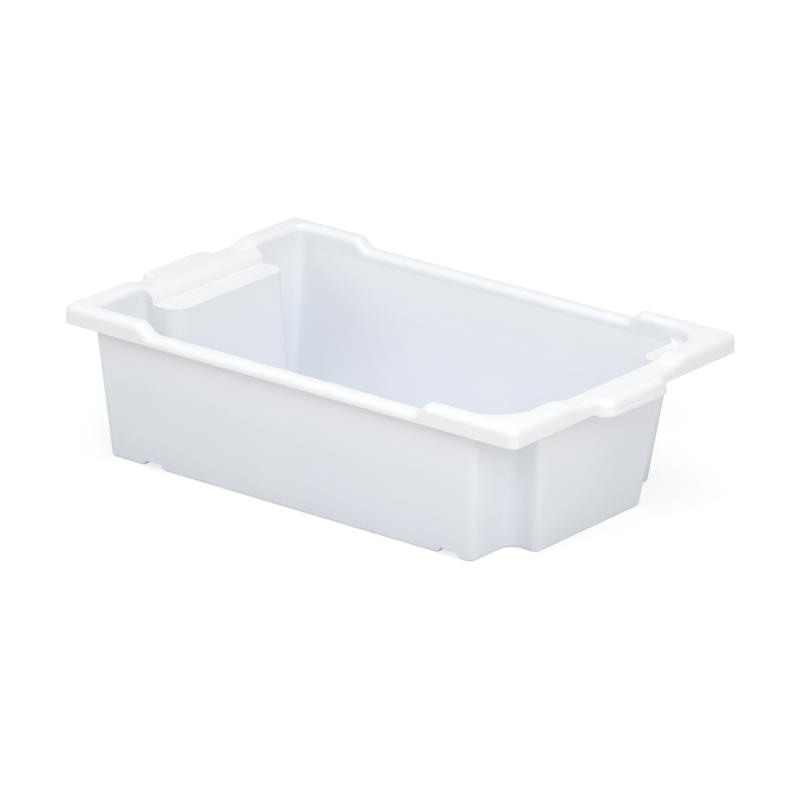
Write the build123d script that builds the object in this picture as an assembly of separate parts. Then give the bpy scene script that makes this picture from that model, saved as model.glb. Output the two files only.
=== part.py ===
"""Shallow harvest tub with ledges inside its rim, on which a second tub turned end for end can stand.

Frame: X along the length with the bulged end at +X, Y across, Z up, origin under the middle of the rim.
Millimetres. The tub is one moulding: it is modelled whole, then divided at its section changes.
"""

import os

from build123d import *

# Overall sizes, over the raised corner ears
rim_length = 608.0
rim_width = 400.0
height = 178.0

# Material thickness
wall = 3.0
floor_thickness = 3.0

# Rim: a flange turned down at its outer edge
left_flange = 25.0
right_flange = 27.0
side_flange = 19.5
ear_skirt = 21.5
rim_corner = 10.0
left_corner = 12.0
right_collar_corner = 48.0
rim_edge = 8.5
inner_edge = 8.0

# The long sides lie lower than the ears, with a ramp up to each ear
side_drop = 11.5
side_ramp = 14.0
side_crease = 12.0
left_ear_length = 104.0
right_ear_length = 118.0

# Hand grips: the middle of each end lies lower, reaches out and turns further down
grip_drop = 6.0
grip_ramp = 26.0
grip_crease = 16.0
grip_span = 152.0
grip_length = 110.0
grip_reach = 15.0
grip_corner = 14.0
grip_apron = 2.0
lip_height = 4.0
lip_proud = 1.5

# Body at the underside of the ledges: a recessed panel on the left, a bulge on the right
recess_depth = 46.5
recess_width = 184.0
column_inset = 38.5
bulge_width = 233.0

# Ledges below the top of the ears, and a rounded shoulder behind the left one that guides a tub onto it
ledge_depth = 21.0
guide_reach = 11.5
guide_round = 12.5

# How far each wall leans in between the ledges and the floor
side_lean = 20.5
left_end_lean = 7.0
bulge_lean = 18.0
bulge_side_lean = 22.5
column_lean = 15.0
recess_lean = 2.0
recess_side_lean = 17.0

# Rounded edges of the body
convex_radius = 9.0
concave_radius = 14.0
recess_radius = 16.0
ledge_fillet = 5.0
floor_edge = 4.0
floor_fillet = 5.0

# Channels across the underside, measured from the foot of the left end and of the right columns
channel_width = 33.0
channel_depth = 7.0
channel_flank = 7.0
left_channel_start = 48.0
right_channel_end = 14.5

# Levels and faces that follow from these sizes
rim_under = height - ear_skirt
ledge_top = height - ledge_depth
ledge_under = ledge_top - wall
grip_bottom = rim_under - grip_apron
collar_left = left_flange - rim_length / 2
collar_right = rim_length / 2 - right_flange
collar_y = rim_width / 2 - side_flange
recess_face = collar_left + recess_depth
guide_foot = collar_left + wall + guide_reach
column_face = collar_right - column_inset
left_channel = collar_left + left_end_lean + left_channel_start
right_channel = column_face - column_lean - right_channel_end - channel_width
left_ear_foot = -rim_length / 2 + left_ear_length + side_ramp
right_ear_foot = rim_length / 2 - right_ear_length - side_ramp
beyond = rim_length + rim_width
everywhere = (-beyond, beyond)
upright_limit = 0.01


def box(x_span=everywhere, y_span=everywhere, z_span=everywhere):
    """A block between the two values of each span."""
    spans = [sorted(span) for span in (x_span, y_span, z_span)]
    sizes = [high - low for low, high in spans]
    centre = [(low + high) / 2 for low, high in spans]
    return Pos(*centre) * Box(*sizes)


def rounded(points, radii, z):
    """A face at level z with rounded corners."""
    outline = FilletPolyline(*points, radius=radii, close=True)
    return Pos(0, 0, z) * make_face(outline)


def upright(face, tall):
    return extrude(face, amount=tall, dir=(0, 0, 1))


def floor_edges(solid):
    return solid.faces().sort_by(Axis.Z)[0].edges()


def body_plan(z, inset):
    """The jogged outline of the body at level z, drawn in by inset."""
    fall = 1 - z / ledge_under
    y = collar_y - side_lean * fall - inset
    left = collar_left + left_end_lean * fall + inset
    recess_x = recess_face + recess_lean * fall + inset
    recess_y = recess_width / 2 + recess_side_lean * fall + inset
    column_x = column_face - column_lean * fall - inset
    bulge_x = collar_right - bulge_lean * fall - inset
    bulge_y = bulge_width / 2 - bulge_side_lean * fall - inset
    front = [(left, -y), (column_x, -y), (column_x, -bulge_y), (bulge_x, -bulge_y)]
    rear = [(x, -y) for x, y in reversed(front)]
    recess = [(left, recess_y), (recess_x, recess_y), (recess_x, -recess_y), (left, -recess_y)]
    convex = convex_radius - inset
    front_radii = [left_corner - inset, convex, concave_radius + inset, convex]
    recess_radii = [convex, recess_radius + inset, recess_radius + inset, convex]
    return rounded(front + rear + recess, front_radii + front_radii[::-1] + recess_radii, z)


def rectangle(left, right, y, left_radius, right_radius, z):
    """A rectangle from left to right, y to each side, with rounded corners."""
    radii = [left_radius, right_radius, right_radius, left_radius]
    return rounded([(left, -y), (right, -y), (right, y), (left, y)], radii, z)


def collar_plan(z, inset):
    """The plain rectangle of the upright band above the ledges."""
    radii = (left_corner - inset, right_collar_corner - inset)
    return rectangle(collar_left + inset, collar_right - inset, collar_y - inset, *radii, z)


def grip_block(end, inset, bottom, top):
    """The part of one hand grip that reaches beyond the ears; end is -1 or 1."""
    outer = end * (rim_length / 2 + grip_reach - inset)
    half = grip_length / 2 - inset
    radius = grip_corner - inset
    plan = rounded([(0, -half), (outer, -half), (outer, half), (0, half)], [0, radius, radius, 0], bottom)
    return upright(plan, top - bottom) & box(x_span=(end * (rim_length / 2 - wall), end * beyond))


def dip(plane, low_end, high_end, ramp, drop, crease):
    """What is cut away above the rim along one direction: level, ramp, low stretch, ramp, level."""
    low = height - drop
    above = height + ear_skirt
    outline = [
        (-beyond, height),
        (low_end - ramp, height),
        (low_end, low),
        (high_end, low),
        (high_end + ramp, height),
        (beyond, height),
        (beyond, above),
        (-beyond, above),
    ]
    profile = FilletPolyline(*outline, radius=[0] + [crease] * 4 + [0] * 3, close=True)
    return extrude(plane * make_face(profile), amount=beyond, both=True)


def rim_form(inset, bottom, apron_bottom):
    """The rim as a solid block, drawn in by inset on its outside and top."""
    ear_x = rim_length / 2 - inset
    corner = rim_corner - inset
    plan = rectangle(-ear_x, ear_x, rim_width / 2 - inset, corner, corner, bottom)
    top = height + grip_drop
    block = upright(plan, top - bottom)
    for end in (-1, 1):
        block += grip_block(end, inset, apron_bottom, top)
    side_dip = dip(Plane.XZ, left_ear_foot, right_ear_foot, side_ramp, side_drop, side_crease)
    grip_dip = dip(Plane.YZ, -grip_span / 2, grip_span / 2, grip_ramp, grip_drop, grip_crease)
    return block - Pos(0, 0, -inset) * side_dip - Pos(0, 0, -inset) * grip_dip


def lip(end):
    """The bead along the bottom of one hand grip."""
    lip_top = grip_bottom + lip_height
    return grip_block(end, -lip_proud, grip_bottom, lip_top) - grip_block(end, 0, grip_bottom, lip_top)


def within_collar(edge):
    limits = edge.bounding_box()
    along = collar_left - wall < limits.min.X and limits.max.X < collar_right + wall
    return along and max(-limits.min.Y, limits.max.Y) < collar_y + wall


def soften(block, inside, radius):
    """Round the upper edges of the upright faces, either those within the collar or those outside it."""
    faces = [face for face in block.faces() if abs(face.normal_at().Z) < upright_limit]
    edges = [edge for face in faces for edge in face.edges()]
    upper = [edge for edge in edges if edge.bounding_box().min.Z > rim_under + radius]
    return fillet([edge for edge in upper if within_collar(edge) == inside], radius)


def guide():
    """The rounded shoulder behind the left ledge, and the hollow under it."""
    crest = height - grip_drop
    face = collar_left + wall
    start = face - inner_edge
    shoulder = [
        (face, ledge_top),
        (guide_foot, ledge_top),
        (guide_foot, crest),
        (start, crest),
        (face, crest - inner_edge),
    ]
    under = [
        (start, ledge_under),
        (guide_foot - wall, ledge_under),
        (guide_foot - wall, crest - wall),
        (start, crest - wall),
    ]
    outer = FilletPolyline(*shoulder, radius=[0, 0, guide_round, 0, 0], close=True)
    inner = FilletPolyline(*under, radius=[0, 0, guide_round - wall, 0], close=True)
    solid = extrude(Plane.XZ * make_face(outer), amount=recess_width / 2 + convex_radius, both=True)
    hollow = extrude(Plane.XZ * make_face(inner), amount=recess_width / 2, both=True)
    return solid, hollow


def rim():
    """Ears, long rims and hand grips with the collar and ledges, open underneath."""
    well = upright(collar_plan(ledge_top, wall), height)
    block = rim_form(0, rim_under, grip_bottom) + upright(collar_plan(ledge_under, 0), wall) - well
    block = soften(block, True, inner_edge)
    block = soften(block, False, rim_edge) + lip(-1) + lip(1)
    hollow_bottom = grip_bottom - wall
    hollow = rim_form(wall, hollow_bottom, hollow_bottom) - upright(collar_plan(0, 0), beyond)
    hollow = soften(hollow, True, inner_edge - wall)
    block -= soften(hollow, False, rim_edge - wall)
    shoulder, shoulder_hollow = guide()
    fill = well - fillet(floor_edges(well), ledge_fillet) + shoulder
    return block + (fill - upright(body_plan(ledge_under, wall), height)) - shoulder_hollow


def channel(start, skin):
    """A channel across the underside with sloped flanks, or with its skin added over it."""
    end = start + channel_width
    slope = channel_flank / channel_depth
    foot = skin * slope
    outline = [
        (start - foot, 0),
        (end + foot, 0),
        (end - channel_flank, channel_depth + skin),
        (start + channel_flank, channel_depth + skin),
    ]
    return extrude(Plane.XZ * make_face(Polyline(*outline, close=True)), amount=beyond, both=True)


def cavity():
    """The space inside the body, up through the ledges."""
    space = loft([body_plan(floor_thickness, wall), body_plan(ledge_under, wall)], ruled=True)
    space = fillet(floor_edges(space), floor_fillet)
    for start in (left_channel, right_channel):
        space -= channel(start, floor_thickness)
    return space + upright(body_plan(ledge_under, wall), wall)


def tub():
    """The whole moulding."""
    body = loft([body_plan(0, 0), body_plan(ledge_under, 0)], ruled=True)
    body = fillet(floor_edges(body), floor_edge)
    whole = body + rim() - cavity()
    for start in (left_channel, right_channel):
        whole -= channel(start, 0)
    return whole


def regions():
    """Where the moulding is divided, in the order in which the pieces are taken from it."""
    above_body = (ledge_under, beyond)
    floor_level = (0, floor_thickness)
    channel_level = (0, channel_depth + floor_thickness)
    skirt_gap = {"left": collar_left - left_flange / 2, "right": collar_right + right_flange / 2}
    recess_reach = recess_width / 2 + wall + convex_radius
    recess_wall_reach = recess_reach + recess_side_lean
    bulge_reach = bulge_width / 2 - wall - convex_radius
    grip_half = grip_span / 2 + grip_ramp + rim_edge
    ends = {"left": -beyond, "right": beyond}
    sides = {"front": -beyond, "rear": beyond}
    cuts = {}

    ledge_flat = upright(collar_plan(ledge_under, wall + ledge_fillet), wall)
    ledge_front = recess_face + wall + recess_radius
    ledge_width = (-recess_reach, recess_reach)
    cuts["left_guide"] = box((collar_left, guide_foot), ledge_width, above_body)
    cuts["left_ledge"] = ledge_flat & box((guide_foot, ledge_front), ledge_width)
    ledge_start = column_face - wall - convex_radius
    for side, sign in (("front", -1), ("rear", 1)):
        across = (sign * bulge_reach, sign * collar_y)
        cuts[f"right_{side}_ledge"] = ledge_flat & box((ledge_start, collar_right), across)

    for end, x in ends.items():
        across = (-grip_half, grip_half)
        over_wall = box((0, x), across, above_body)
        apron = box((skirt_gap[end], x), across, (0, beyond))
        cuts[f"{end}_grip"] = over_wall + apron
    for side, y in sides.items():
        cuts[f"left_{side}_ear"] = box((-beyond, left_ear_foot), (0, y), above_body)
        cuts[f"right_{side}_ear"] = box((right_ear_foot, beyond), (0, y), above_body)
        cuts[f"{side}_rim"] = box(y_span=(0, y), z_span=above_body)

    for end, start in (("left", left_channel), ("right", right_channel)):
        over = (start - floor_thickness, start + channel_width + floor_thickness)
        cuts[f"{end}_floor_channel"] = box(over, everywhere, channel_level)
    for side, y in sides.items():
        cuts[f"left_{side}_foot"] = box((-beyond, left_channel), (0, y), floor_level)
    cuts["bulge_foot"] = box((right_channel, beyond), everywhere, floor_level)
    cuts["floor_panel"] = box(z_span=floor_level)

    column_end = recess_face - recess_radius
    column_start = column_face - column_lean - wall - convex_radius
    bulge_start = column_face + concave_radius
    for side, y in sides.items():
        cuts[f"left_{side}_column"] = box((-beyond, column_end), (0, y))
    cuts["left_recess_wall"] = box((-beyond, left_channel), (-recess_wall_reach, recess_wall_reach))
    cuts["bulge_wall"] = box((bulge_start, beyond))
    for side, y in sides.items():
        cuts[f"right_{side}_column"] = box((column_start, beyond), (0, y))
        cuts[f"{side}_wall"] = box(y_span=(0, y))
    return cuts


def main():
    os.makedirs("parts", exist_ok=True)
    rest = tub()
    for name, region in regions().items():
        piece = rest & region
        rest = rest - region
        piece.label = name
        export_step(piece, f"parts/{name}.step")
        print(name, len(piece.solids()), round(piece.volume), piece.is_valid)
    print("left over", rest.volume if rest else 0)


main()
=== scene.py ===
"""Looks of the moulded storage box: white satin plastic on a white studio floor.

Metres, in the frame of the part: X along the length with the bulged end at +X, Y across, Z up.
"""

from math import cos, radians, sin

import bpy
from mathutils import Matrix, Vector


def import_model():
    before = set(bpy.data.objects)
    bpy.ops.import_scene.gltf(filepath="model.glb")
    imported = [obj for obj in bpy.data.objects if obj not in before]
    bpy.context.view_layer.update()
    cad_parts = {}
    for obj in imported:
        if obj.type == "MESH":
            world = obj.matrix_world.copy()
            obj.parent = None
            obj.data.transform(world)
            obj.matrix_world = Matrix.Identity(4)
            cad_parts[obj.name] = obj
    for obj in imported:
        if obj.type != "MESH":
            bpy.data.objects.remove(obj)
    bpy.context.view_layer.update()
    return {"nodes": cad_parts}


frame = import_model()

# Camera, as fitted to the edges of the box in the photograph
IMAGE_SIZE = 800
SENSOR_WIDTH = 36.0
FOCAL_PIXELS = 6660.45
VIEW_AZIMUTH = radians(37.30)
VIEW_ELEVATION = radians(20.11)
VIEW_ROLL = radians(1.11)
VIEW_DISTANCE = 7.1768
VIEW_CENTRE = Vector((0.0, 0.0, 0.09))
VIEW_OFFSET = (-0.0024, 0.0057)
VIEW_REACH = 100.0

# Plastic colours, linear: painted light and shade, the walls painted cooler low down as shade and
# whiter towards the top as painted light, reaching the rim's white between two levels
RIM_WHITE_WITH_PAINTED_LIGHT = (0.88, 0.89, 0.904, 1.0)
WALL_WHITE = (0.838, 0.862, 0.902, 1.0)
CLOUDED_WHITE = (0.823, 0.85, 0.896, 1.0)
SCUFFED_WHITE = (0.76, 0.775, 0.79, 1.0)
# Levels between which the painted shade below turns into the painted light above
PAINTED_SHADE_BELOW = 0.07
PAINTED_LIGHT_ABOVE = 0.155
SHEEN = 0.4

# Finishes: roughness, and how strongly the plastic is rubbed
WALL_FINISH = (0.52, 0.15)
RIM_FINISH = (0.46, 0.3)
FLOOR_FINISH = (0.55, 0.6)
RIM_PIECES = ("_rim", "_ear", "_grip")
RUBBED_PIECES = ("floor_panel", "floor_channel", "_foot", "_ledge", "_guide")

# Flow clouding, uneven gloss and moulded grain: noise scales per metre, and the spans of noise in use
CLOUD_SCALE = 14.0
CLOUD_DETAIL = 4.0
CLOUD_ROUGHNESS = 0.55
CLOUD_SPAN = (0.35, 0.65)
GLOSS_SCALE = 55.0
GLOSS_DETAIL = 3.0
GLOSS_SPAN = (0.3, 0.7)
GLOSSIER = -0.05
DULLER = 0.06
GRAIN_SCALE = 1800.0
GRAIN_ROUGHNESS = 0.6
GRAIN_STRENGTH = 0.06
GRAIN_DEPTH = 0.0004

# Rubbed streaks along and across the box, gathered in patches
STREAKS_ALONG = (9.0, 260.0, 90.0)
STREAKS_ACROSS = (240.0, 11.0, 90.0)
STREAK_DETAIL = 3.0
STREAK_ROUGHNESS = 0.6
STREAK_SPAN = (0.63, 0.75)
PATCH_SCALE = 22.0
PATCH_SPAN = (0.5, 0.7)
RUBBED_DULLER = 0.15

# Studio
WORLD_TINT = (0.97, 0.97, 1.0, 1.0)
WORLD_STRENGTH = 0.34
BACKDROP_WHITE = (1.0, 1.0, 1.0, 1.0)
FLOOR_SIZE = 40.0
FLOOR_DROP = 0.0003
FLOOR_GLOW = 0.74
FAR_GLOW = 0.95
GLOW_SPAN = (0.5, 1.3)
PAPER_WHITE = (0.8, 0.8, 0.8, 1.0)
PAPER_SHADOW = (0.32, 0.32, 0.32, 1.0)
LAMP_TARGET = Vector((0.0, 0.0, 0.1))

# Sockets of the colour mixer
MIX_SHARE = 0
MIX_FIRST = 6
MIX_SECOND = 7
MIX_RESULT = 2


class Shader:
    """A node tree under construction."""

    def __init__(self, tree):
        self.tree = tree
        self.tree.nodes.clear()

    def node(self, kind, inputs=None, **settings):
        made = self.tree.nodes.new(kind)
        for name, value in settings.items():
            setattr(made, name, value)
        for name, value in (inputs or {}).items():
            self.feed(made.inputs[name], value)
        return made

    def feed(self, socket, value):
        if isinstance(value, bpy.types.NodeSocket):
            self.tree.links.new(value, socket)
        else:
            socket.default_value = value

    def math(self, operation, first, second):
        made = self.node("ShaderNodeMath", {0: first, 1: second}, operation=operation)
        return made.outputs[0]

    def noise(self, coordinates, scale, detail=2.0, roughness=0.5):
        inputs = {"Vector": coordinates, "Scale": scale, "Detail": detail, "Roughness": roughness}
        return self.node("ShaderNodeTexNoise", inputs).outputs["Fac"]

    def remap(self, value, low, high, to_low, to_high, course="LINEAR"):
        inputs = {
            "Value": value,
            "From Min": low,
            "From Max": high,
            "To Min": to_low,
            "To Max": to_high,
        }
        made = self.node("ShaderNodeMapRange", inputs, interpolation_type=course)
        return made.outputs["Result"]

    def stretch(self, coordinates, scale):
        inputs = {"Vector": coordinates, "Scale": scale}
        return self.node("ShaderNodeMapping", inputs).outputs["Vector"]

    def blend(self, share, first, second):
        made = self.node("ShaderNodeMix", data_type="RGBA")
        self.feed(made.inputs[MIX_SHARE], share)
        self.feed(made.inputs[MIX_FIRST], first)
        self.feed(made.inputs[MIX_SECOND], second)
        return made.outputs[MIX_RESULT]


def streaks(shader, place, scale):
    return shader.noise(shader.stretch(place, scale), 1.0, STREAK_DETAIL, STREAK_ROUGHNESS)


def scuffs(shader, place, wear):
    """How far each point is rubbed: short streaks in both directions, gathered in patches."""
    along = streaks(shader, place, STREAKS_ALONG)
    across = streaks(shader, place, STREAKS_ACROSS)
    both = shader.remap(shader.math("MAXIMUM", along, across), *STREAK_SPAN, 0.0, 1.0)
    patches = shader.remap(shader.noise(place, PATCH_SCALE), *PATCH_SPAN, 0.0, wear)
    return shader.math("MULTIPLY", both, patches)


def white_plastic(name, roughness, wear):
    """Satin plastic with faint flow clouding, a fine moulded grain, uneven gloss and rubbed marks,
    painted cooler low down as shade and whiter towards the top as painted light.
    """
    material = bpy.data.materials.new(name)
    material.use_nodes = True
    shader = Shader(material.node_tree)
    place = shader.node("ShaderNodeTexCoord").outputs["Object"]
    level = shader.node("ShaderNodeSeparateXYZ", {"Vector": place}).outputs["Z"]
    flow = shader.noise(place, CLOUD_SCALE, CLOUD_DETAIL, CLOUD_ROUGHNESS)
    cloud = shader.remap(flow, *CLOUD_SPAN, 0.0, 1.0)
    # Painted light and shade: the colour whitens with height, painted shade low down and painted
    # light near the top
    painted_light_upwards = shader.remap(level, PAINTED_SHADE_BELOW, PAINTED_LIGHT_ABOVE, 0.0, 1.0, "SMOOTHSTEP")
    tint_and_painted_light = shader.blend(painted_light_upwards, shader.blend(cloud, WALL_WHITE, CLOUDED_WHITE), RIM_WHITE_WITH_PAINTED_LIGHT)
    rubbed = scuffs(shader, place, wear)
    uneven = shader.noise(place, GLOSS_SCALE, GLOSS_DETAIL)
    gloss = shader.remap(uneven, *GLOSS_SPAN, roughness + GLOSSIER, roughness + DULLER)
    grain = shader.noise(place, GRAIN_SCALE, roughness=GRAIN_ROUGHNESS)
    relief = {"Strength": GRAIN_STRENGTH, "Distance": GRAIN_DEPTH, "Height": grain}
    inputs = {
        "Base Color": shader.blend(rubbed, tint_and_painted_light, SCUFFED_WHITE),
        "Roughness": shader.math("ADD", gloss, shader.math("MULTIPLY", rubbed, RUBBED_DULLER)),
        "Specular IOR Level": SHEEN,
        "Normal": shader.node("ShaderNodeBump", relief).outputs["Normal"],
    }
    plastic = shader.node("ShaderNodeBsdfPrincipled", inputs)
    shader.node("ShaderNodeOutputMaterial", {"Surface": plastic.outputs["BSDF"]})
    return material


def seen_directly(shader):
    """1 for rays that show the background itself, also in gloss and through clear material."""
    path = shader.node("ShaderNodeLightPath").outputs
    seen = shader.math("MAXIMUM", path["Is Camera Ray"], path["Is Glossy Ray"])
    return shader.math("MAXIMUM", seen, path["Is Transmission Ray"])


def paper_white():
    """Floor that shows as white with a faint shadow, and lights the box as plain white paper does."""
    material = bpy.data.materials.new("paper_floor")
    material.use_nodes = True
    shader = Shader(material.node_tree)
    seen = seen_directly(shader)
    shade = shader.blend(seen, PAPER_WHITE, PAPER_SHADOW)
    paper = shader.node("ShaderNodeBsdfDiffuse", {"Color": shade})
    place = shader.node("ShaderNodeTexCoord").outputs["Object"]
    distance = shader.node("ShaderNodeVectorMath", {0: place}, operation="LENGTH").outputs["Value"]
    strength = shader.remap(distance, *GLOW_SPAN, FLOOR_GLOW, FAR_GLOW)
    glow = shader.node("ShaderNodeEmission", {"Strength": shader.math("MULTIPLY", seen, strength)})
    both = shader.node("ShaderNodeAddShader", {0: paper.outputs[0], 1: glow.outputs[0]})
    shader.node("ShaderNodeOutputMaterial", {"Surface": both.outputs[0]})
    return material


def floor():
    mesh = bpy.data.meshes.new("floor")
    half = FLOOR_SIZE / 2
    corners = [(-half, -half), (half, -half), (half, half), (-half, half)]
    mesh.from_pydata([(x, y, -FLOOR_DROP) for x, y in corners], [], [(0, 1, 2, 3)])
    mesh.materials.append(paper_white())
    made = bpy.data.objects.new("floor", mesh)
    bpy.context.scene.collection.objects.link(made)


def world():
    """Dim even light on the box, in front of a backdrop that shows as white."""
    made = bpy.data.worlds.new("studio")
    made.use_nodes = True
    bpy.context.scene.world = made
    shader = Shader(made.node_tree)
    seen = seen_directly(shader)
    ambient = shader.node("ShaderNodeBackground", {"Color": WORLD_TINT, "Strength": WORLD_STRENGTH})
    white = shader.node("ShaderNodeBackground", {"Color": BACKDROP_WHITE, "Strength": 1.0})
    sides = {0: seen, 1: ambient.outputs[0], 2: white.outputs[0]}
    chosen = shader.node("ShaderNodeMixShader", sides)
    shader.node("ShaderNodeOutputWorld", {"Surface": chosen.outputs[0]})


def softbox(name, place, size, watts, colour):
    light = bpy.data.lights.new(name, "AREA")
    light.shape = "DISK"
    light.size = size
    light.energy = watts
    light.color = colour
    made = bpy.data.objects.new(name, light)
    made.location = place
    made.rotation_euler = (LAMP_TARGET - Vector(place)).to_track_quat("-Z", "Y").to_euler()
    bpy.context.scene.collection.objects.link(made)


def lamps():
    softbox("top", place=(0.0, 0.0, 2.5), size=2.4, watts=27.2, colour=(1.0, 1.0, 0.98))
    softbox("right", place=(2.2, 0.0, 1.0), size=1.4, watts=9.2, colour=(1.0, 1.0, 0.99))
    softbox("left_front", place=(-1.4, -1.6, 1.2), size=1.4, watts=10.6, colour=(0.97, 0.99, 1.0))
    softbox("right_front", place=(1.2, -1.4, 1.2), size=1.2, watts=13.2, colour=(1.0, 1.0, 0.99))


def camera():
    data = bpy.data.cameras.new("camera")
    data.sensor_width = SENSOR_WIDTH
    data.lens = SENSOR_WIDTH * FOCAL_PIXELS / IMAGE_SIZE
    data.clip_end = VIEW_REACH
    level = Vector((cos(VIEW_AZIMUTH), sin(VIEW_AZIMUTH), 0.0))
    away = Vector((sin(VIEW_AZIMUTH), -cos(VIEW_AZIMUTH), 0.0))
    back = away * cos(VIEW_ELEVATION) + Vector((0.0, 0.0, sin(VIEW_ELEVATION)))
    rise = back.cross(level)
    right = level * cos(VIEW_ROLL) + rise * sin(VIEW_ROLL)
    up = rise * cos(VIEW_ROLL) - level * sin(VIEW_ROLL)
    place = VIEW_CENTRE + back * VIEW_DISTANCE - right * VIEW_OFFSET[0] - up * VIEW_OFFSET[1]
    made = bpy.data.objects.new("camera", data)
    turn = Matrix((right, up, back)).transposed().to_4x4()
    made.matrix_world = Matrix.Translation(place) @ turn
    bpy.context.scene.collection.objects.link(made)
    bpy.context.scene.camera = made


def dress():
    """Give each piece of the moulding its finish."""
    wall = white_plastic("satin_wall", *WALL_FINISH)
    rim = white_plastic("handled_rim", *RIM_FINISH)
    rubbed = white_plastic("scuffed_floor", *FLOOR_FINISH)
    for name, piece in frame["nodes"].items():
        chosen = wall
        if name.endswith(RIM_PIECES):
            chosen = rim
        if name.endswith(RUBBED_PIECES):
            chosen = rubbed
        for slot in piece.material_slots:
            slot.material = chosen


dress()
world()
floor()
lamps()
camera()
bpy.context.scene.view_settings.view_transform = "Standard"
